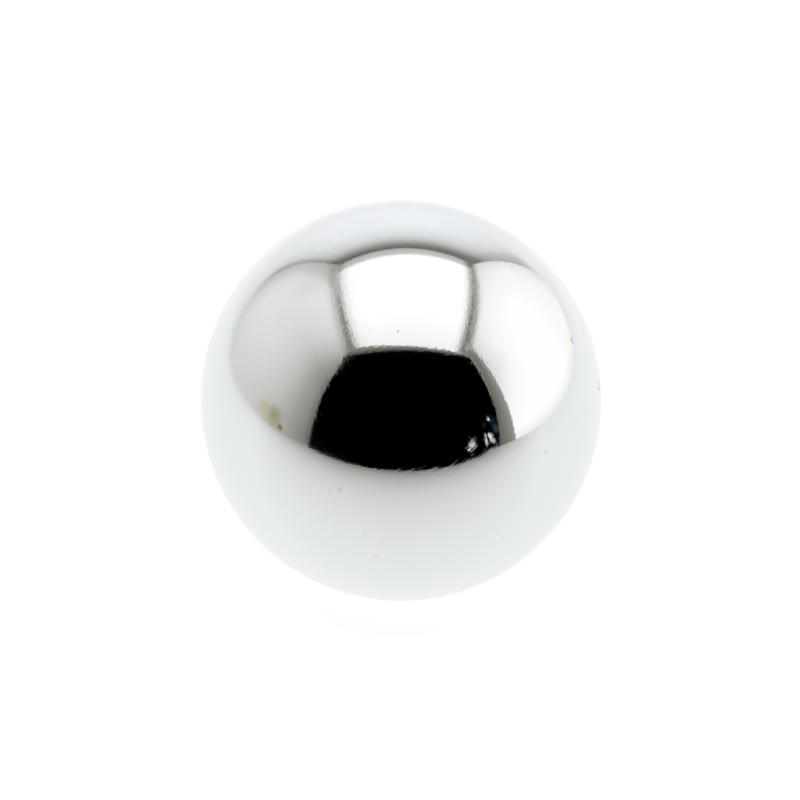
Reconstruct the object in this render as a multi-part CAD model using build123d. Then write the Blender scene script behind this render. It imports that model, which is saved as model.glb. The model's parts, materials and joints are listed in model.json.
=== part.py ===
from build123d import *
import os

# Polished steel ball, in millimetres.
# One solid piece, headed from bar, hardened, then ground and lapped to a true sphere all over,
# so it has no flat, hole, seam or parting line. The origin is its centre, with +Z up.

# Driving dimension
BALL_DIAMETER = 40.0


def make_steel_ball():
    """The whole ball, as one sphere about the origin."""
    return Sphere(radius=BALL_DIAMETER / 2)


def export_parts(parts):
    """Writes each named solid to a STEP file of its own name."""
    os.makedirs("parts", exist_ok=True)
    for name, solid in parts.items():
        export_step(solid, f"parts/{name}.step")


export_parts({"steel_ball": make_steel_ball()})
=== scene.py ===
import json
import math
import random
from collections import namedtuple

import bmesh
import bpy
from bpy.props import FloatProperty, FloatVectorProperty, IntProperty, PointerProperty
from bpy.types import Operator, Panel, PropertyGroup
from mathutils import Matrix, Vector


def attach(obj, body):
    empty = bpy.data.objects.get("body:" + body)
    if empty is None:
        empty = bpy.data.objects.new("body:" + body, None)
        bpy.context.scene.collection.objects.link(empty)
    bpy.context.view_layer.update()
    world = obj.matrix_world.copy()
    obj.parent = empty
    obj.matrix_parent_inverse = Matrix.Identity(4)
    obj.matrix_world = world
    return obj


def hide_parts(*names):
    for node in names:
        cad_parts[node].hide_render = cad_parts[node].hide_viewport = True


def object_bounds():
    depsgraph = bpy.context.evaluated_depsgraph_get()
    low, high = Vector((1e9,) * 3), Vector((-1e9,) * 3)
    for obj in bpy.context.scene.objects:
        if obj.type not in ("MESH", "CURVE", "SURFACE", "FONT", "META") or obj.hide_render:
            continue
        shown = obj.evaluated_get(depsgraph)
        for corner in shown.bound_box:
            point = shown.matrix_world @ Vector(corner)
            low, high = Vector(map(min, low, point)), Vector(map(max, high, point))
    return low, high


bl_info = {
    "name": "Steel Ball",
    "version": (1, 0, 0),
    "blender": (4, 5, 0),
    "location": "3D View > Sidebar > Steel Ball",
    "description": "Gives the packed steel ball its lapped mirror finish and stands it in a light tent",
    "category": "Object",
}

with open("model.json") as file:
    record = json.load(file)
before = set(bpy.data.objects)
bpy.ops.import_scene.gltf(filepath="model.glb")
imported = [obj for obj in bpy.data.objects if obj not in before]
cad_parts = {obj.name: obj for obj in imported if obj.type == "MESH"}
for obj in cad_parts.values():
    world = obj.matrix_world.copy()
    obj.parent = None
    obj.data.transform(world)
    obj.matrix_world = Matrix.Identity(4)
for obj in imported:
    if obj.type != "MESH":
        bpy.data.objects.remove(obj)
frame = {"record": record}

CAD_BOX = [list(corner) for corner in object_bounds()]
BALL_RADIUS = (CAD_BOX[1][2] - CAD_BOX[0][2]) / 2
STEEL = frame["record"]["materials"][0]
MILLIMETRE = 0.001
VIEW_ELEVATION = 31.5

# A handling mark on the polish: where it is, how long and wide it is, how far it leans from level, and how dark it is.
# Longitude 0 faces the camera and grows to the right. Places and leans are in degrees, sizes in millimetres.
Mark = namedtuple("Mark", "longitude latitude length width lean shade")

SEEN_MARKS = (
    Mark(-2.4, 51.0, 0.38, 0.17, 78, 0.50),
    Mark(-14.4, 50.6, 0.30, 0.12, 5, 0.20),
    Mark(83.9, 11.7, 0.60, 0.30, 85, 0.70),
    Mark(83.6, 10.2, 0.65, 0.45, 60, 0.90),
    Mark(83.4, 8.8, 0.40, 0.25, 85, 0.40),
    Mark(-16.5, 3.7, 0.34, 0.30, 50, 0.34),
    Mark(-19.4, 2.6, 0.42, 0.30, 30, 0.14),
    Mark(46.5, 8.5, 0.42, 0.36, 70, 0.22),
    Mark(33.5, -16.7, 0.45, 0.20, -35, 0.30),
    Mark(-4.4, -13.5, 0.30, 0.24, 60, 0.24),
    Mark(-9.0, -10.0, 0.35, 0.25, 60, 0.08),
    Mark(-6.1, -18.6, 1.20, 0.95, 40, 0.05),
    Mark(-54.6, -1.7, 0.50, 0.22, 0, 0.12),
    Mark(175.2, 79.2, 0.50, 0.22, 5, 0.17),
    Mark(-23.8, -47.9, 0.50, 0.20, 25, 0.20),
    Mark(-17.0, -10.7, 0.55, 0.16, 5, 0.15),
    Mark(75.3, 30.8, 0.80, 0.34, 80, 0.55),
    Mark(87.8, 27.4, 0.75, 0.30, 85, 0.30),
)

# A set of lapping lines: the middle of the patch that it covers, how far its lines lean from level, the patch's
# reach in degrees, how deep the lines are against the deepest, how many times as long as wide they are, and how
# many lie across one radius of the ball.
LapSet = namedtuple("LapSet", "longitude latitude lean reach depth run lines")

LAP_SETS = (
    LapSet(25, 17, 37, 9, 0.45, 14, 105),
    LapSet(16, 14, 35, 11, 0.50, 14, 105),
    LapSet(4, 11, 25, 12, 0.52, 9, 105),
    LapSet(-2, 10, -25, 9, 0.25, 9, 115),
    LapSet(-19, 12, 2, 14, 0.22, 10, 130),
    LapSet(-27, 29, 106, 15, 0.62, 5, 95),
    LapSet(-33, 53, 105, 24, 0.75, 2, 90),
    LapSet(34, 53, 75, 24, 0.65, 2, 90),
    LapSet(34, 28, 80, 20, 0.24, 3, 105),
    LapSet(-1, 46, 60, 24, 0.32, 2, 110),
    LapSet(80, 20, 35, 50, 0.15, 14, 130),
    LapSet(-80, 10, -30, 50, 0.15, 14, 130),
    LapSet(140, 15, 60, 60, 0.35, 14, 130),
    LapSet(-140, -10, 15, 60, 0.35, 14, 130),
    LapSet(180, 55, -40, 50, 0.35, 14, 130),
    LapSet(10, -55, 70, 60, 0.35, 14, 130),
)

# A patch of haze on the polish: its middle, its reach in degrees, and the roughness that it adds.
Haze = namedtuple("Haze", "longitude latitude reach roughness")

HAZES = (
    Haze(-24, 13, 12, 0.04),
    Haze(-28, 43, 11, 0.038),
    Haze(150, 30, 30, 0.04),
    Haze(-130, -15, 25, 0.04),
)

# The core of a patch, where it has its full strength, is this many times smaller than its reach.
LAP_CORE, HAZE_CORE = 2, 3

# The marks strewn over the far side: the draw's seed, the cosine from the view at which that side begins, and the
# least and most length in millimetres, width against length, and shade.
STREWN_SEED = 7
STREWN_FROM = -0.1
STREWN_LENGTH = (0.25, 0.5)
STREWN_WIDTH = (0.3, 0.8)
STREWN_SHADE = (0.2, 0.5)

# How a mark is pressed in: the cosine that bounds the points it is tried on, how soon its darker colour fills it,
# and how far past its rim the normals follow the facets.
MARK_NEAR = 0.999
DARKENING_FILL = 1.6
MARK_RIM = 1.4

# The finish: the noise at which a lapping line starts and is full, how far apart two sets lie in the noise, the clouds
# of faint haze with the tone that they leave, and the roughness of the darkened marks.
LINE_START, LINE_FULL = 0.54, 0.72
LAP_SEED_STEP = 7.3
CLOUD_SCALE = 2.4
CLOUD_START, CLOUD_FULL = 0.45, 0.75
CLOUD_TONE = 0.98
MARK_ROUGHNESS = 0.4

# The light tent, in ball radii from the ball's centre: X to the right, Y away from the camera, Z up.
TENT_SIDE = 10.2
TENT_FRONT = -8.8
FRONT_HEM = TENT_FRONT - 0.1
LEFT_FRONT_HIGH = -9.2
TENT_ROOF = 17.0
TENT_FLOOR = -1.0
LEFT_BACK = 14.2
RIGHT_BACK = 16.9
RIGHT_BACK_HIGH = 13.0
HEM_START, HEM_START_HIGH = -7.15, -5.55
HEM_END, HEM_END_HIGH = -4.85, -5.05
OPENING_LEFT_HIGH, OPENING_RIGHT = -9.85, 13.6
OPENING_LOW = -1.8

# A dim grey glow outside the sheets, which shows in the seams between them: painted shade in the gaps.
SEAM_LIGHT = 0.22
SEAM_SIDE = TENT_SIDE + 4.0
SEAM_FRONT = TENT_FRONT - 0.6
SEAM_BACK = RIGHT_BACK + 0.8
SEAM_TOP = TENT_ROOF + 0.6
SEAM_LOW = TENT_FLOOR - 0.2

# The sweep's profile at its left and right edges, as (Y, Z): flat floor, a loose bend, then the upright back.
SWEEP_LEFT = ((-7.8, -1.0), (0.0, -1.0), (5.0, -1.0), (7.0, -0.6), (9.0, 0.6), (10.9, 2.3), (11.7, 4.6), (11.8, 8.0),
              (11.5, 12.0), (11.2, 16.6))
SWEEP_RIGHT = ((-8.8, -1.0), (0.0, -1.0), (5.0, -1.0), (8.0, -0.5), (11.5, 0.3), (14.4, 1.2), (15.7, 2.8), (15.5, 5.4),
               (14.6, 9.8), (13.2, 16.6))
SWEEP_SIDE = TENT_SIDE - 0.15
SWEEP_EASE = 0.6
SWEEP_COLUMNS, SWEEP_ROWS = 60, 90

# How far the sweep's side edges curl up off the floor, and between which Y the curl of the left one sets in.
SWEEP_CURL_LEFT, SWEEP_CURL_RIGHT = 0.32, 0.4
SWEEP_CURL_START, SWEEP_CURL_FULL = -4.0, 0.0
SWEEP_CURL_POWER = 10

# The sweep's light: from the open front into the tent, up its back, and from its left edge to its right. It reaches
# further forward at the sides, most on the right, where the back dims lower down. The back keeps a least light, which
# rises to the right.
SWEEP_GLOW = 1.03
SWEEP_DEPTHS = (-9.0, 6.0)
SWEEP_HEIGHTS = (-1.0, 17.0)
SWEEP_SIDES = (-10.0, 10.0)
FRONT_SPREAD, FRONT_SKEW, BACK_SKEW = 0.08, 0.03, 0.05
BACK_LEAST, BACK_LEAST_RISE = 0.155, 0.006
FRONT_LIGHT = ((0.01, 0.12), (0.06, 0.22), (0.15, 0.365), (0.23, 0.47), (0.37, 0.675), (0.45, 0.79), (0.52, 0.89),
               (0.56, 0.94), (1.0, 0.99))
BACK_LIGHT = ((0.0, 1.0), (0.06, 0.985), (0.12, 0.99), (0.25, 1.035), (0.50, 1.035), (0.61, 0.95), (0.68, 0.885),
              (0.72, 0.825), (0.79, 0.66), (0.825, 0.52), (0.865, 0.38), (0.91, 0.25), (0.975, 0.155))
SIDE_LIGHT = ((0.0, 0.79), (0.10, 0.90), (0.22, 0.955), (0.45, 1.0), (0.75, 0.98), (0.90, 0.955), (1.0, 0.93))

# The shade on the sweep's side edges, where they rise against the walls.
EDGE_SHADE = ((0.0, 0.56), (0.018, 0.61), (0.04, 0.87), (0.10, 0.95), (0.20, 1.0), (0.62, 1.0), (0.78, 0.945),
              (0.85, 0.895), (0.905, 0.81), (0.94, 0.67), (0.97, 0.60), (1.0, 0.58))
EDGE_SHADE_START, EDGE_SHADE_FULL = 0.6, 4.5

# White cloth's tint at each level of light: a little warmer where it is dim. The sweep is cooler and dimmer to the
# rear.
CLOTH_TINT = ((0.15, (0.986, 1.0, 0.85)), (0.45, (0.986, 1.0, 0.935)), (0.80, (0.987, 1.0, 0.957)),
              (0.92, (0.987, 1.0, 0.975)), (1.0, (0.987, 1.0, 0.985)))
REAR_TINT = ((0.0, (1.0, 1.0, 1.02)), (0.50, (0.985, 0.985, 1.01)), (0.75, (0.957, 0.957, 0.983)),
             (1.0, (0.957, 0.957, 0.983)))
SWEEP_REAR = (0.0, 12.0)
DIM_TINT = (0.99, 1.0, 0.9)

# A flat sheet of the tent: its corners (low left, low right, high right, high left), its glow, the stops that dim it
# across and along, and how far the light slips sideways at its two ends, below and above its middle.
Sheet = namedtuple("Sheet", "name corners glow across along slip")
SHEET_FACETS = 24
NO_SLIP = ((0.0, 0.0), (0.0, 0.0))

TENT_SHEETS = (
    Sheet("tent_roof",
          ((-9.5, -9.25, TENT_ROOF), (10.95, -8.35, 15.9), (10.05, 14.1, TENT_ROOF), (-10.35, 10.9, 16.1)), 1.22,
          ((0.0, 0.33), (0.02, 0.47), (0.05, 0.76), (0.11, 0.94), (0.22, 1.0), (0.90, 1.0), (0.925, 0.92),
           (0.95, 0.74), (0.97, 0.50), (1.0, 0.26)),
          ((0.0, 0.86), (0.06, 0.875), (0.12, 0.90), (0.35, 1.0), (0.86, 1.0), (0.88, 0.92), (0.895, 0.70),
           (0.91, 0.53), (0.98, 0.44), (1.0, 0.25)), NO_SLIP),
    Sheet("tent_left_wall",
          ((-TENT_SIDE, TENT_FRONT, TENT_FLOOR), (-TENT_SIDE, LEFT_BACK, TENT_FLOOR),
           (-TENT_SIDE, LEFT_BACK, TENT_ROOF), (-TENT_SIDE, LEFT_FRONT_HIGH, TENT_ROOF)), 0.90,
          ((0.0, 0.18), (0.06, 0.35), (0.14, 0.475), (0.23, 0.68), (0.32, 0.82), (0.43, 0.925), (0.60, 0.985),
           (0.70, 0.985), (0.78, 0.92), (0.86, 0.735), (1.0, 0.60)),
          ((0.0, 0.845), (0.08, 0.87), (0.17, 0.935), (0.28, 0.985), (0.50, 0.985), (0.61, 1.0), (0.80, 1.0),
           (0.835, 0.92), (0.86, 0.815), (0.915, 0.67), (0.97, 0.38), (1.0, 0.29)), ((0.0, 0.0), (0.38, 0.56))),
    Sheet("tent_right_wall",
          ((TENT_SIDE, HEM_END, TENT_FLOOR), (TENT_SIDE, RIGHT_BACK, TENT_FLOOR),
           (TENT_SIDE, RIGHT_BACK_HIGH, 17.9), (TENT_SIDE, HEM_END_HIGH, 14.15)), 1.17,
          ((0.0, 0.68), (0.066, 0.79), (0.115, 0.86), (0.185, 0.94), (0.27, 0.98), (0.36, 1.0), (0.53, 1.0),
           (0.62, 0.965), (0.80, 0.925), (0.90, 0.86), (1.0, 0.72)),
          ((0.0, 0.80), (0.04, 0.90), (0.08, 1.0), (0.50, 1.0), (0.62, 0.97), (0.77, 0.91), (0.83, 0.885), (0.86, 0.85),
           (0.885, 0.77), (0.91, 0.56), (0.94, 0.38), (1.0, 0.29)), ((0.58, 0.0), (0.12, 0.0))),
    # The right hem glows dimly: painted shade on the front strip of the right wall.
    Sheet("tent_right_hem",
          ((TENT_SIDE, HEM_START, TENT_FLOOR), (TENT_SIDE, HEM_END, TENT_FLOOR),
           (TENT_SIDE, HEM_END_HIGH, 15.4), (TENT_SIDE, HEM_START_HIGH, 15.4)), 0.55,
          ((0.0, 0.32), (0.29, 0.42), (0.67, 0.58), (0.90, 0.72), (1.0, 0.86)),
          ((0.0, 0.74), (0.15, 0.84), (0.50, 0.84), (0.70, 0.82), (0.82, 1.0)), NO_SLIP),
    Sheet("tent_opening",
          ((-TENT_SIDE, TENT_FRONT, OPENING_LOW), (OPENING_RIGHT, TENT_FRONT, OPENING_LOW),
           (OPENING_RIGHT, TENT_FRONT, 15.95), (OPENING_LEFT_HIGH, TENT_FRONT, 13.85)), 0.0, None, None, NO_SLIP),
    Sheet("tent_front_hem",
          ((-TENT_SIDE, FRONT_HEM, 13.0), (OPENING_RIGHT, FRONT_HEM, 15.0),
           (OPENING_RIGHT, FRONT_HEM, 18.0), (-TENT_SIDE, FRONT_HEM, 17.2)), 0.20,
          ((0.0, 1.0), (1.0, 1.0)), ((0.20, 0.35), (0.45, 0.75), (0.70, 1.25), (0.95, 1.5)), NO_SLIP),
)

# A soft spot of light or shade on a wall or in the opening: which one, its place along it and its height, its half
# sizes, how far it leans, its colour and how soft its edge is. The first lies this far in, each next one a step more.
Spot = namedtuple("Spot", "wall along height half_length half_height lean colour softness")
SPOT_INSET, SPOT_STEP = 0.05, 0.01

SPOTS = (
    Spot("left", -2.25, 0.0, 1.75, 1.10, 0, (0.56, 0.535, 0.375), 0.85),
    Spot("left", -3.9, -0.45, 1.80, 0.80, 0, (0.46, 0.44, 0.335), 0.9),
    Spot("left", -3.35, 0.20, 1.35, 1.20, 0, (0.39, 0.36, 0.235), 0.85),
    Spot("left", -4.25, -0.47, 0.48, 0.36, 20, (0.21, 0.205, 0.135), 0.7),
    Spot("right", 7.0, 0.3, 1.8, 0.8, 0, (1.10, 1.06, 0.95), 1.0),
    Spot("opening", 7.04, 0.63, 1.05, 0.42, 37, (0.08, 0.08, 0.08), 0.6),
    Spot("opening", 7.40, 1.09, 0.50, 0.075, 16, (1.20, 1.20, 1.20), 0.5),
    Spot("opening", 6.95, 0.88, 0.42, 0.065, 16, (0.95, 0.95, 0.95), 0.5),
    Spot("opening", 7.03, 0.61, 0.57, 0.075, 16, (1.50, 1.50, 1.50), 0.5),
    Spot("opening", 7.25, 0.36, 0.55, 0.075, 16, (1.20, 1.20, 1.20), 0.5),
    Spot("opening", 6.57, 0.16, 0.34, 0.075, 16, (1.20, 1.20, 1.20), 0.5),
    Spot("opening", 9.41, 0.59, 0.13, 0.98, 0, (1.25, 1.25, 1.25), 0.5),
    Spot("opening", 10.34, 0.75, 0.28, 0.80, 21, (1.30, 1.30, 1.30), 0.5),
    Spot("opening", 10.70, 0.95, 0.24, 0.50, 21, (0.42, 0.47, 0.49), 0.6),
    Spot("opening", 11.00, 0.21, 0.48, 0.32, 0, (0.55, 0.55, 0.56), 0.6),
    Spot("opening", 10.55, 3.15, 0.45, 0.48, 0, (0.12, 0.12, 0.13), 0.7),
    Spot("opening", 10.64, 3.02, 0.22, 0.24, 0, (1.40, 1.42, 1.45), 0.5),
    Spot("opening", 9.40, 2.40, 0.40, 0.45, -20, (0.02, 0.02, 0.018), 0.8),
    Spot("opening", 11.6, 2.60, 1.25, 1.25, -20, (0.006, 0.010, 0.023), 0.6),
    Spot("opening", 11.9, 1.62, 0.95, 0.80, -20, (0.030, 0.058, 0.092), 0.7),
    Spot("opening", 12.3, 0.50, 0.65, 0.55, -20, (0.005, 0.004, 0.013), 0.6),
    Spot("left", 6.0, 9.7, 2.8, 3.0, 0, (0.80, 0.81, 0.775), 1.0),
    Spot("left", -7.2, 15.2, 0.85, 0.9, 0, (0.40, 0.40, 0.355), 0.8),
    Spot("right", -5.75, 13.4, 0.8, 0.9, 0, (0.43, 0.43, 0.39), 0.8),
    Spot("left", 7.0, 15.8, 7.0, 1.3, 0, (0.55, 0.55, 0.52), 1.0),
)

# The floor and how far the camera sees, in ball radii, the plain fill of light, and the sensor's width in millimetres.
FLOOR_REACH, FLOOR_LEVEL, FLOOR_SEGMENTS = 80, -1.002, 96
VIEW_REACH = 200
FILL_LIGHT = 0.5
SENSOR_WIDTH = 36.0


# Settings

class BallSettings(PropertyGroup):
    """Sizes and finish of the ball."""

    radius: FloatProperty(
        name="Radius", description="Radius of the ball, as packed",
        default=BALL_RADIUS, min=0.0005, unit="LENGTH", precision=5)
    facets: IntProperty(
        name="Facets", description="Facets along each edge of the cube that is blown up to the ball",
        default=80, min=16, max=112)
    mark_facets: IntProperty(
        name="Mark Facets", description="Cuts across each facet that a handling mark lies in",
        default=7, min=3, max=12)
    mark_depth: FloatProperty(
        name="Mark Depth", description="Depth of the deepest handling mark",
        default=0.02 * MILLIMETRE, min=0.0, unit="LENGTH", precision=6)
    unseen_marks: IntProperty(
        name="Unseen Marks", description="Marks strewn over the sides that face away",
        default=14, min=0, max=40)
    steel: FloatVectorProperty(
        name="Steel", description="Colour of the bare polished steel",
        default=STEEL["base_color"][:3], size=3, subtype="COLOR", min=0.0, max=1.0)
    # The dark colour that the handling marks darken the steel towards.
    mark_colour: FloatVectorProperty(
        name="Mark Colour", description="Colour of the grime in the handling marks",
        default=(0.05, 0.048, 0.045), size=3, subtype="COLOR", min=0.0, max=1.0)
    roughness: FloatProperty(
        name="Polish Roughness", description="Roughness of the clean polish",
        default=0.03, min=0.0, max=1.0, subtype="FACTOR")
    haze: FloatProperty(
        name="Haze", description="Roughness that the faint handling haze adds",
        default=0.025, min=0.0, max=1.0, subtype="FACTOR")
    lap_depth: FloatProperty(
        name="Lapping Depth", description="Depth of the deepest lapping lines",
        default=0.0016 * MILLIMETRE, min=0.0, unit="LENGTH", precision=7)
    lap_fineness: FloatProperty(
        name="Lapping Fineness", description="Number of lapping lines, against the number each set is given",
        default=1.0, min=0.1, max=4.0)
    grain: FloatProperty(
        name="Grain", description="Depth of the fine grain all over, against the lapping depth",
        default=0.7, min=0.0, max=4.0)
    grain_size: FloatProperty(
        name="Grain Size", description="Grains across one radius of the ball",
        default=115.0, min=1.0)


class StageSettings(PropertyGroup):
    """The light tent, the floor and the camera."""

    tent_light: FloatProperty(
        name="Tent Light", description="Brightness of the tent's cloth in the mirror", default=1.0, min=0.0)
    floor_colour: FloatVectorProperty(
        name="Floor", description="Colour of the floor",
        default=(0.6, 0.6, 0.6), size=3, subtype="COLOR", min=0.0, max=1.0)
    floor_lift: FloatProperty(
        name="Floor Lift", description="Light that the floor adds for the camera, so that it shows white",
        default=0.69, min=0.0, max=1.0, subtype="FACTOR")
    lamp_power: FloatProperty(
        name="Lamp Power", description="Power of the soft lamp above", default=1.6, min=0.0, unit="POWER")
    elevation: FloatProperty(
        name="View Elevation", description="Camera above the horizon",
        default=math.radians(VIEW_ELEVATION), subtype="ANGLE", unit="ROTATION")
    roll: FloatProperty(
        name="View Roll", description="Camera turned about its own line of sight",
        default=math.radians(2.0), subtype="ANGLE", unit="ROTATION")
    distance: FloatProperty(
        name="View Distance", description="Camera from the ball's centre, in ball radii", default=40.0, min=3.0)
    lens: FloatProperty(
        name="Lens", description="Focal length", default=361.5, min=1.0, unit="CAMERA")
    aim_right: FloatProperty(
        name="Aim Right", description="How far right of the ball's centre the camera aims, in ball radii",
        default=-0.0048)
    aim_up: FloatProperty(
        name="Aim Up", description="How far above the ball's centre the camera aims, in ball radii",
        default=0.0017)


# Small helpers

def outward(longitude, latitude):
    """Direction from the ball's centre to a place on it."""
    lon, lat = math.radians(longitude), math.radians(latitude)
    return Vector((math.sin(lon) * math.cos(lat), -math.cos(lon) * math.cos(lat), math.sin(lat)))


def cosine(degrees):
    """The cosine of an angle in degrees."""
    return math.cos(math.radians(degrees))


def along_and_across(middle, lean):
    """Directions along and across a line that leans from level at a place on the ball."""
    east = Vector((0, 0, 1)).cross(middle).normalized()
    north = middle.cross(east)
    turn = math.radians(lean)
    along = east * math.cos(turn) + north * math.sin(turn)
    return along, middle.cross(along)


def new_material(name):
    """An empty node material and its tree."""
    material = bpy.data.materials.new(name)
    material.use_nodes = True
    material.node_tree.nodes.clear()
    return material, material.node_tree


def add_node(tree, kind, operation=None, **inputs):
    """A node, with its inputs set or linked. An input is given by its name, or by its number as i0, i1, ..."""
    node = tree.nodes.new(kind)
    if operation:
        node.operation = operation
    for key, value in inputs.items():
        by_number = key[0] == "i" and key[1:].isdigit()
        socket = node.inputs[int(key[1:])] if by_number else node.inputs[key.replace("_", " ")]
        if isinstance(value, bpy.types.NodeSocket):
            tree.links.new(value, socket)
        else:
            socket.default_value = value
    return node


def maths(tree, operation, *inputs):
    """The result of a Math node."""
    return add_node(tree, "ShaderNodeMath", operation, **{f"i{n}": v for n, v in enumerate(inputs)}).outputs[0]


def eased(tree, value, low, high):
    """A smooth step from 0 at low to 1 at high."""
    step = add_node(tree, "ShaderNodeMapRange", Value=value, From_Min=low, From_Max=high)
    step.interpolation_type = "SMOOTHSTEP"
    return step.outputs["Result"]


def share_of(tree, value, ends):
    """How far a value lies from the first of two ends to the second."""
    return add_node(tree, "ShaderNodeMapRange", Value=value, From_Min=ends[0], From_Max=ends[1]).outputs["Result"]


def nearness(tree, place, direction):
    """The cosine of the angle between a place on the ball and a direction."""
    return add_node(tree, "ShaderNodeVectorMath", "DOT_PRODUCT", i0=place, i1=direction).outputs["Value"]


def fall_off(tree, value, stops):
    """A brightness or colour that follows given stops along a value from 0 to 1."""
    ramp = add_node(tree, "ShaderNodeValToRGB", Fac=value)
    stones = ramp.color_ramp.elements
    while len(stones) < len(stops):
        stones.new(0.5)
    for stone, (position, tone) in zip(stones, stops):
        stone.position = position
        stone.color = (*tone, 1.0) if isinstance(tone, tuple) else (tone, tone, tone, 1.0)
    return ramp.outputs["Color"]


def link_object(name, mesh):
    """A new object with this mesh, in the scene."""
    thing = bpy.data.objects.new(name, mesh)
    bpy.context.scene.collection.objects.link(thing)
    return thing


# The ball

def all_marks(count):
    """The marks that face the camera, and more like them strewn over the sides that don't."""
    strewn = random.Random(STREWN_SEED)
    marks = list(SEEN_MARKS)
    view = outward(0, VIEW_ELEVATION)
    while len(marks) < len(SEEN_MARKS) + count:
        longitude = strewn.uniform(-180, 180)
        latitude = math.degrees(math.asin(strewn.uniform(-1, 1)))
        if outward(longitude, latitude).dot(view) < STREWN_FROM:
            length = strewn.uniform(*STREWN_LENGTH)
            marks.append(Mark(longitude, latitude, length, length * strewn.uniform(*STREWN_WIDTH),
                              strewn.uniform(-90, 90), strewn.uniform(*STREWN_SHADE)))
    return marks


def blown_up_cube(facets):
    """A cube of even facets, blown up to a ball of radius one."""
    ball = bmesh.new()
    bmesh.ops.create_cube(ball, size=2)
    bmesh.ops.subdivide_edges(ball, edges=ball.edges[:], cuts=facets - 1, use_grid_fill=True)
    for vert in ball.verts:
        vert.co = Vector([math.tan(c * math.pi / 4) for c in vert.co]).normalized()
    return ball


def cut_finer(ball, marks, settings):
    """Cuts the facets under each mark finer, so that the mark has a shape of its own."""
    facet = math.pi / 2 / settings.facets
    edges = set()
    for mark in marks:
        middle = outward(mark.longitude, mark.latitude)
        reach = mark.length * MILLIMETRE / settings.radius / 2 + facet
        for face in ball.faces:
            if face.calc_center_median().normalized().dot(middle) > math.cos(reach):
                edges.update(face.edges)
    bmesh.ops.subdivide_edges(ball, edges=list(edges), cuts=settings.mark_facets, use_grid_fill=True)
    for vert in ball.verts:
        vert.co.normalize()


def press_marks(ball, marks, settings):
    """Presses each mark into the ball. Returns the darkening at each point, and the points that left the true round."""
    darkening = [0.0] * len(ball.verts)
    pressed = set()
    places = [(mark, outward(mark.longitude, mark.latitude)) for mark in marks]
    ball.verts.index_update()
    for vert in ball.verts:
        outer = vert.co.copy()
        vert.co = outer * settings.radius
        for mark, middle in places:
            if outer.dot(middle) < MARK_NEAR:
                continue
            along, across = along_and_across(middle, mark.lean)
            step = (outer - middle) * settings.radius / MILLIMETRE
            off = (2 * step.dot(along) / mark.length) ** 2 + (2 * step.dot(across) / mark.width) ** 2
            if off < 1:
                vert.co -= outer * settings.mark_depth * mark.shade * (1 - off) ** 2
                darkening[vert.index] = max(darkening[vert.index], mark.shade * min(1.0, DARKENING_FILL * (1 - off)))
            if off < MARK_RIM:
                pressed.add(vert.index)
    return darkening, pressed


def ball_mesh(settings):
    """The ball with its marks, and with normals that are exact wherever it is round."""
    marks = all_marks(settings.unseen_marks)
    ball = blown_up_cube(settings.facets)
    cut_finer(ball, marks, settings)
    darkening, pressed = press_marks(ball, marks, settings)
    for face in ball.faces:
        face.smooth = True
    mesh = bpy.data.meshes.new("lapped_ball")
    ball.to_mesh(mesh)
    ball.free()
    # How far each point's colour is darkened in the marks.
    mesh.attributes.new("darkening", "FLOAT", "POINT").data.foreach_set("value", darkening)
    found = [normal.vector.copy() for normal in mesh.vertex_normals]
    normals = [found[v.index] if v.index in pressed else v.co.normalized() for v in mesh.vertices]
    mesh.normals_split_custom_set_from_vertices(normals)
    return mesh


def lapping_group():
    """Node group: height of one set of lapping lines, broken into arcs and fading out round its patch."""
    group = bpy.data.node_groups.new("lapping_lines", "ShaderNodeTree")
    for kind, names in (("Vector", ("Place", "Across", "Along", "Middle")),
                        ("Float", ("Edge", "Full", "Lines", "Breaks", "Depth", "Seed"))):
        for name in names:
            group.interface.new_socket(name, in_out="INPUT", socket_type="NodeSocket" + kind)
    group.interface.new_socket("Height", in_out="OUTPUT", socket_type="NodeSocketFloat")
    given = group.nodes.new("NodeGroupInput").outputs

    wide = maths(group, "MULTIPLY", nearness(group, given["Place"], given["Across"]), given["Lines"])
    long = maths(group, "MULTIPLY", nearness(group, given["Place"], given["Along"]), given["Breaks"])
    spread = add_node(group, "ShaderNodeCombineXYZ", X=wide, Y=long, Z=given["Seed"])
    noise = add_node(group, "ShaderNodeTexNoise", Vector=spread.outputs[0], Scale=1.0, Detail=0.0)
    line = eased(group, noise.outputs["Fac"], LINE_START, LINE_FULL)
    patch = eased(group, nearness(group, given["Place"], given["Middle"]), given["Edge"], given["Full"])
    height = maths(group, "MULTIPLY", maths(group, "MULTIPLY", line, patch), given["Depth"])
    result = group.nodes.new("NodeGroupOutput")
    group.links.new(height, result.inputs["Height"])
    return group


def lapping_height(tree, place, settings):
    """Height of all the lapping lines together, with the fine grain that the lap leaves everywhere."""
    group = lapping_group()
    grain = add_node(tree, "ShaderNodeTexNoise", Vector=place, Scale=settings.grain_size, Detail=1.0, Roughness=0.5)
    height = maths(tree, "MULTIPLY", grain.outputs["Fac"], settings.grain)
    for number, lap in enumerate(LAP_SETS):
        middle = outward(lap.longitude, lap.latitude)
        along, across = along_and_across(middle, lap.lean)
        count = lap.lines * settings.lap_fineness
        lines = add_node(tree, "ShaderNodeGroup")
        lines.node_tree = group
        tree.links.new(place, lines.inputs["Place"])
        for name, value in (("Across", across), ("Along", along), ("Middle", middle),
                            ("Edge", cosine(lap.reach)), ("Full", cosine(lap.reach / LAP_CORE)),
                            ("Lines", count), ("Breaks", count / lap.run), ("Depth", lap.depth),
                            ("Seed", number * LAP_SEED_STEP)):
            lines.inputs[name].default_value = value
        height = maths(tree, "ADD", height, lines.outputs["Height"])
    return height


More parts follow.
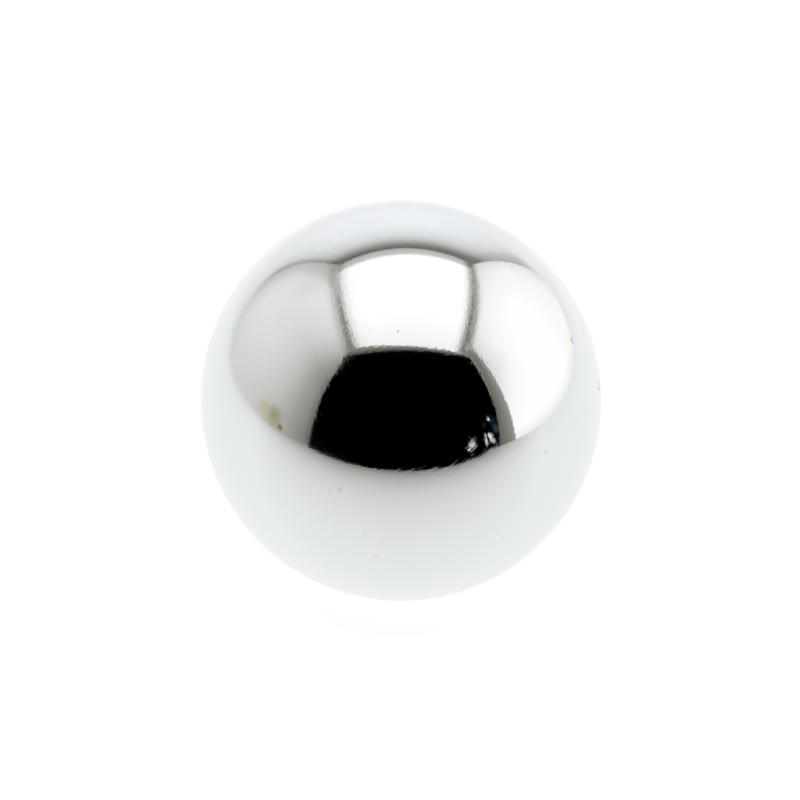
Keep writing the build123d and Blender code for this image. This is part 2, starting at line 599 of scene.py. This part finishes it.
def lapped_steel(settings):
    """Bare steel lapped to a mirror: fine lapping arcs, a faint haze, and darkening in the handling marks."""
    material, tree = new_material("lapped_steel")
    where = add_node(tree, "ShaderNodeTexCoord").outputs["Object"]
    place = add_node(tree, "ShaderNodeVectorMath", "NORMALIZE", i0=where).outputs["Vector"]
    bump = add_node(tree, "ShaderNodeBump", Strength=1.0, Distance=settings.lap_depth,
                    Height=lapping_height(tree, place, settings))

    # The marks' darkening: it darkens the steel's colour and roughens it.
    marks = add_node(tree, "ShaderNodeAttribute")
    marks.attribute_name = "darkening"
    darkening = marks.outputs["Fac"]
    noise = add_node(tree, "ShaderNodeTexNoise", Vector=place, Scale=CLOUD_SCALE, Detail=4.0, Roughness=0.6)
    clouds = noise.outputs["Fac"]
    haze = add_node(tree, "ShaderNodeMapRange", Value=clouds, From_Min=CLOUD_START, From_Max=CLOUD_FULL,
                    To_Min=settings.roughness, To_Max=settings.roughness + settings.haze).outputs["Result"]
    for patch in HAZES:
        near = nearness(tree, place, outward(patch.longitude, patch.latitude))
        cover = eased(tree, near, cosine(patch.reach), cosine(patch.reach / HAZE_CORE))
        haze = maths(tree, "MULTIPLY_ADD", cover, patch.roughness, haze)
    rough = maths(tree, "MULTIPLY_ADD", darkening, MARK_ROUGHNESS, haze)

    tone = add_node(tree, "ShaderNodeMix")
    tone.data_type = "RGBA"
    tree.links.new(clouds, tone.inputs["Factor"])
    tone.inputs["A"].default_value = (*settings.steel, 1.0)
    tone.inputs["B"].default_value = (*[c * CLOUD_TONE for c in settings.steel], 1.0)
    colour = add_node(tree, "ShaderNodeMix")
    colour.data_type = "RGBA"
    tree.links.new(darkening, colour.inputs["Factor"])
    tree.links.new(tone.outputs["Result"], colour.inputs["A"])
    colour.inputs["B"].default_value = (*settings.mark_colour, 1.0)

    steel = add_node(tree, "ShaderNodeBsdfPrincipled", Base_Color=colour.outputs["Result"], Metallic=1.0,
                     Roughness=rough, Normal=bump.outputs["Normal"])
    add_node(tree, "ShaderNodeOutputMaterial", Surface=steel.outputs["BSDF"])
    return material


class STEELBALL_OT_lap_ball(Operator):
    """Build the ball with its handling marks and lapped finish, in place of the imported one"""

    bl_idname = "steel_ball.lap_ball"
    bl_label = "Lapped Ball"
    bl_options = {"REGISTER", "UNDO"}

    def execute(self, context):
        settings = context.scene.steel_ball
        ball = link_object("lapped_ball", ball_mesh(settings))
        ball.data.materials.append(lapped_steel(settings))
        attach(ball, "root")
        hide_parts("steel_ball")
        return {"FINISHED"}


# The stage

def glowing(material, tree, colour, strength):
    """Makes a material glow, as cloth does that the mirror shows and that lights nothing else."""
    cloth = add_node(tree, "ShaderNodeEmission", Color=colour, Strength=strength)
    add_node(tree, "ShaderNodeOutputMaterial", Surface=cloth.outputs["Emission"])
    material.cycles.emission_sampling = "NONE"


def cloth_sheet(name, point_at, columns, rows, material, slip=NO_SLIP):
    """A sheet of cloth that only mirrors show. point_at gives the point for a share across and a share along.

    The light on it slips sideways by the given shares at its two ends, below and above its middle.
    """
    sheet = bmesh.new()
    shares = sheet.loops.layers.uv.new("shares")
    grid = [[sheet.verts.new(point_at(c / columns, r / rows)) for c in range(columns + 1)] for r in range(rows + 1)]
    for r in range(rows):
        for c in range(columns):
            corners = ((r, c), (r, c + 1), (r + 1, c + 1), (r + 1, c))
            face = sheet.faces.new([grid[y][x] for y, x in corners])
            face.smooth = True
            for loop, (y, x) in zip(face.loops, corners):
                s, rise = x / columns, y / rows - 0.5
                start, end = slip[rise > 0]
                loop[shares].uv = (s + (start * (1 - s) + end * s) * abs(rise), y / rows)
    mesh = bpy.data.meshes.new(name)
    sheet.to_mesh(mesh)
    sheet.free()
    mesh.materials.append(material)
    cloth = link_object(name, mesh)
    for ray in ("camera", "diffuse", "transmission", "volume_scatter", "shadow"):
        setattr(cloth, "visible_" + ray, False)


def flat_sheet(stage, radius, sheet):
    """A flat sheet of the tent, lit evenly or by its stops."""
    low_left, low_right, high_right, high_left = (Vector(c) * radius for c in sheet.corners)

    def point_at(s, t):
        return low_left.lerp(low_right, s).lerp(high_left.lerp(high_right, s), t)

    material, tree = new_material(sheet.name)
    if sheet.across:
        shares = add_node(tree, "ShaderNodeSeparateXYZ", Vector=add_node(tree, "ShaderNodeUVMap").outputs["UV"]).outputs
        across, along = fall_off(tree, shares["X"], sheet.across), fall_off(tree, shares["Y"], sheet.along)
        light = maths(tree, "MULTIPLY", maths(tree, "MULTIPLY", across, along), sheet.glow * stage.tent_light)
        glowing(material, tree, fall_off(tree, light, CLOTH_TINT), light)
    else:
        glowing(material, tree, (*DIM_TINT, 1.0), sheet.glow * stage.tent_light)
    cloth_sheet(sheet.name, point_at, SHEET_FACETS, SHEET_FACETS, material, sheet.slip)


def on_profile(profile, share):
    """A point on a smooth line through the profile's points."""
    place = share * (len(profile) - 1)
    first = min(int(place), len(profile) - 2)
    step = place - first
    before, start, end, after = (Vector(profile[max(0, min(len(profile) - 1, first + k))]) for k in (-1, 0, 1, 2))
    return 0.5 * (2 * start + (end - before) * step + (2 * before - 5 * start + 4 * end - after) * step ** 2
                  + (3 * start - before - 3 * end + after) * step ** 3)


def build_sweep(stage, radius):
    """One white sheet for the tent's floor and back. It dims towards the open front and the top of its back."""

    def point_at(s, t):
        y, z = on_profile(SWEEP_LEFT, t).lerp(on_profile(SWEEP_RIGHT, t), s ** SWEEP_EASE)
        curl = SWEEP_CURL_RIGHT
        if s < 0.5:
            inward = (y - SWEEP_CURL_START) / (SWEEP_CURL_FULL - SWEEP_CURL_START)
            curl = SWEEP_CURL_LEFT * max(0.0, min(1.0, inward))
        curl *= abs(2 * s - 1) ** SWEEP_CURL_POWER * max(0.0, 1 - 2 * t)
        return Vector(((2 * s - 1) * SWEEP_SIDE, y, max(z, TENT_FLOOR) + curl)) * radius

    material, tree = new_material("tent_sweep")
    where = add_node(tree, "ShaderNodeTexCoord").outputs["Object"]
    scaled = add_node(tree, "ShaderNodeVectorMath", "SCALE", i0=where, Scale=1 / radius).outputs["Vector"]
    parts = add_node(tree, "ShaderNodeSeparateXYZ", Vector=scaled).outputs
    x, y, z = parts["X"], parts["Y"], parts["Z"]
    skewed = maths(tree, "MULTIPLY_ADD", x, FRONT_SKEW, y)
    depth = maths(tree, "MULTIPLY_ADD", maths(tree, "ABSOLUTE", x), FRONT_SPREAD, skewed)
    height = maths(tree, "MULTIPLY_ADD", maths(tree, "MAXIMUM", x, 0.0), BACK_SKEW, z)
    front_light = fall_off(tree, share_of(tree, depth, SWEEP_DEPTHS), FRONT_LIGHT)
    back_light = fall_off(tree, share_of(tree, height, SWEEP_HEIGHTS), BACK_LIGHT)
    side_light = fall_off(tree, share_of(tree, x, SWEEP_SIDES), SIDE_LIGHT)
    edge = fall_off(tree, share_of(tree, x, SWEEP_SIDES), EDGE_SHADE)
    risen = eased(tree, z, EDGE_SHADE_START, EDGE_SHADE_FULL)
    shade = maths(tree, "MULTIPLY_ADD", risen, maths(tree, "SUBTRACT", edge, 1.0), 1.0)
    upright = maths(tree, "MULTIPLY", back_light, maths(tree, "MULTIPLY", side_light, shade))
    least = maths(tree, "MULTIPLY_ADD", maths(tree, "MAXIMUM", x, 0.0), BACK_LEAST_RISE, BACK_LEAST)
    both = maths(tree, "MULTIPLY", front_light, maths(tree, "MAXIMUM", upright, least))
    light = maths(tree, "MULTIPLY", both, SWEEP_GLOW * stage.tent_light)
    rear = fall_off(tree, share_of(tree, y, SWEEP_REAR), REAR_TINT)
    tint = add_node(tree, "ShaderNodeVectorMath", "MULTIPLY", i0=fall_off(tree, light, CLOTH_TINT), i1=rear)
    glowing(material, tree, tint.outputs["Vector"], light)
    cloth_sheet("tent_sweep", point_at, SWEEP_COLUMNS, SWEEP_ROWS, material)


def build_seams(stage, radius):
    """Dim grey glowing sheets outside the tent's sheets, which show in the seams between them: painted shade in the
    gaps.
    """
    side, front, back, top, low = SEAM_SIDE, SEAM_FRONT, SEAM_BACK, SEAM_TOP, SEAM_LOW
    for name, corners in (
        ("tent_seam_left", ((-side, front, low), (-side, back, low), (-side, back, top), (-side, front, top))),
        ("tent_seam_right", ((side, front, low), (side, back, low), (side, back, top), (side, front, top))),
        ("tent_seam_back", ((-side, back, low), (side, back, low), (side, back, top), (-side, back, top))),
        ("tent_seam_front", ((-side, front, low), (side, front, low), (side, front, top), (-side, front, top))),
        ("tent_seam_top", ((-side, front, top), (side, front, top), (side, back, top), (-side, back, top))),
    ):
        flat_sheet(stage, radius, Sheet(name, corners, SEAM_LIGHT, None, None, NO_SLIP))


def build_spot(stage, radius, number, spot):
    """A soft spot just inside a wall or the opening, each a little further in than the last."""
    name = f"tent_spot_{number}"
    inset = SPOT_INSET + SPOT_STEP * number
    middle, sideways = {
        "left": (Vector((-TENT_SIDE + inset, spot.along, spot.height)), Vector((0, 1, 0))),
        "right": (Vector((TENT_SIDE - inset, spot.along, spot.height)), Vector((0, 1, 0))),
        "opening": (Vector((spot.along, TENT_FRONT + inset, spot.height)), Vector((1, 0, 0))),
    }[spot.wall]
    up = Vector((0, 0, 1))
    turn = math.radians(spot.lean)
    right = (sideways * math.cos(turn) + up * math.sin(turn)) * spot.half_length
    rise = (up * math.cos(turn) - sideways * math.sin(turn)) * spot.half_height

    def point_at(s, t):
        return (middle + right * (2 * s - 1) + rise * (2 * t - 1)) * radius

    material, tree = new_material(name)
    shares = add_node(tree, "ShaderNodeUVMap").outputs["UV"]
    off = add_node(tree, "ShaderNodeVectorMath", "DISTANCE", i0=shares, i1=(0.5, 0.5, 0.0)).outputs["Value"]
    cover = eased(tree, off, 0.5, 0.5 * (1 - spot.softness))
    light = add_node(tree, "ShaderNodeEmission", Color=(*spot.colour, 1.0), Strength=stage.tent_light)
    clear = add_node(tree, "ShaderNodeBsdfTransparent")
    mix = add_node(tree, "ShaderNodeMixShader", i0=cover, i1=clear.outputs["BSDF"], i2=light.outputs["Emission"])
    add_node(tree, "ShaderNodeOutputMaterial", Surface=mix.outputs["Shader"])
    material.cycles.emission_sampling = "NONE"
    cloth_sheet(name, point_at, 1, 1, material)


def build_tent(stage, radius):
    """The cloth tent that the ball mirrors: sweep, roof, side walls, hems, open front, seams and spots."""
    build_sweep(stage, radius)
    for sheet in TENT_SHEETS:
        flat_sheet(stage, radius, sheet)
    build_seams(stage, radius)
    for number, spot in enumerate(SPOTS):
        build_spot(stage, radius, number, spot)


def build_floor(stage, radius):
    """A plain white floor that keeps the ball's soft shadow."""
    material, tree = new_material("white_floor")
    seen = add_node(tree, "ShaderNodeLightPath").outputs["Is Camera Ray"]
    paper = add_node(tree, "ShaderNodeBsdfDiffuse", Color=(*stage.floor_colour, 1.0))
    glow = add_node(tree, "ShaderNodeEmission", Strength=maths(tree, "MULTIPLY", seen, stage.floor_lift))
    both = add_node(tree, "ShaderNodeAddShader", i0=paper.outputs["BSDF"], i1=glow.outputs["Emission"])
    add_node(tree, "ShaderNodeOutputMaterial", Surface=both.outputs["Shader"])
    material.cycles.emission_sampling = "NONE"
    sheet = bmesh.new()
    bmesh.ops.create_circle(sheet, cap_ends=True, segments=FLOOR_SEGMENTS, radius=FLOOR_REACH * radius,
                            matrix=Matrix.Translation((0, 0, FLOOR_LEVEL * radius)))
    mesh = bpy.data.meshes.new("floor")
    sheet.to_mesh(mesh)
    sheet.free()
    mesh.materials.append(material)
    floor = link_object("floor", mesh)
    floor.visible_glossy = False


def set_light(stage, radius):
    """White surroundings for the camera and the mirror, a plain fill, and one soft lamp above."""
    world = bpy.data.worlds.new("white_surroundings")
    bpy.context.scene.world = world
    world.use_nodes = True
    tree = world.node_tree
    tree.nodes.clear()
    path = add_node(tree, "ShaderNodeLightPath").outputs
    shown = maths(tree, "MAXIMUM", maths(tree, "MAXIMUM", path["Is Camera Ray"], path["Is Glossy Ray"]),
                  path["Is Transmission Ray"])
    strength = add_node(tree, "ShaderNodeMapRange", Value=shown, To_Min=FILL_LIGHT, To_Max=1.0).outputs["Result"]
    sky = add_node(tree, "ShaderNodeBackground", Strength=strength)
    add_node(tree, "ShaderNodeOutputWorld", Surface=sky.outputs["Background"])
    lamp = bpy.data.lights.new("soft_lamp", "AREA")
    lamp.shape = "SQUARE"
    lamp.size = 2 * TENT_SIDE * radius
    lamp.energy = stage.lamp_power
    above = bpy.data.objects.new("soft_lamp", lamp)
    above.location = (0, 0, TENT_ROOF * radius)
    above.visible_glossy = False
    bpy.context.scene.collection.objects.link(above)


def set_camera(stage, radius):
    """The camera, looking down at the ball, a little rolled and a little off its centre."""
    back = Vector((0, -math.cos(stage.elevation), math.sin(stage.elevation)))
    turn = (-back).to_track_quat("-Z", "Y").to_matrix() @ Matrix.Rotation(stage.roll, 3, "Z")
    lens = bpy.data.cameras.new("camera")
    lens.lens = stage.lens
    lens.sensor_width = SENSOR_WIDTH
    lens.clip_start = radius
    lens.clip_end = VIEW_REACH * radius
    camera = bpy.data.objects.new("camera", lens)
    aim = turn @ Vector((stage.aim_right, stage.aim_up, 0)) * radius
    camera.matrix_world = Matrix.Translation(aim + back * stage.distance * radius) @ turn.to_4x4()
    bpy.context.scene.collection.objects.link(camera)
    bpy.context.scene.camera = camera


class STEELBALL_OT_set_stage(Operator):
    """Set up the light tent, the white floor, the light and the camera"""

    bl_idname = "steel_ball.set_stage"
    bl_label = "Light Tent and Camera"
    bl_options = {"REGISTER", "UNDO"}

    def execute(self, context):
        stage = context.scene.steel_ball_stage
        radius = context.scene.steel_ball.radius
        context.scene.view_settings.view_transform = "Standard"
        build_floor(stage, radius)
        build_tent(stage, radius)
        set_light(stage, radius)
        set_camera(stage, radius)
        return {"FINISHED"}


class STEELBALL_PT_sidebar(Panel):
    """Settings and steps of the steel ball"""

    bl_idname = "STEELBALL_PT_sidebar"
    bl_label = "Steel Ball"
    bl_space_type = "VIEW_3D"
    bl_region_type = "UI"
    bl_category = "Steel Ball"

    def draw(self, context):
        for settings, step in (
            (context.scene.steel_ball, STEELBALL_OT_lap_ball),
            (context.scene.steel_ball_stage, STEELBALL_OT_set_stage),
        ):
            box = self.layout.box()
            for name in settings.__annotations__:
                box.prop(settings, name)
            box.operator(step.bl_idname)


CLASSES = (BallSettings, StageSettings, STEELBALL_OT_lap_ball, STEELBALL_OT_set_stage, STEELBALL_PT_sidebar)


def register():
    for cls in CLASSES:
        bpy.utils.register_class(cls)
    bpy.types.Scene.steel_ball = PointerProperty(type=BallSettings)
    bpy.types.Scene.steel_ball_stage = PointerProperty(type=StageSettings)


def unregister():
    del bpy.types.Scene.steel_ball_stage
    del bpy.types.Scene.steel_ball
    for cls in reversed(CLASSES):
        bpy.utils.unregister_class(cls)


def main():
    register()
    bpy.ops.steel_ball.lap_ball()
    bpy.ops.steel_ball.set_stage()


if __name__ == "__main__":
    main()
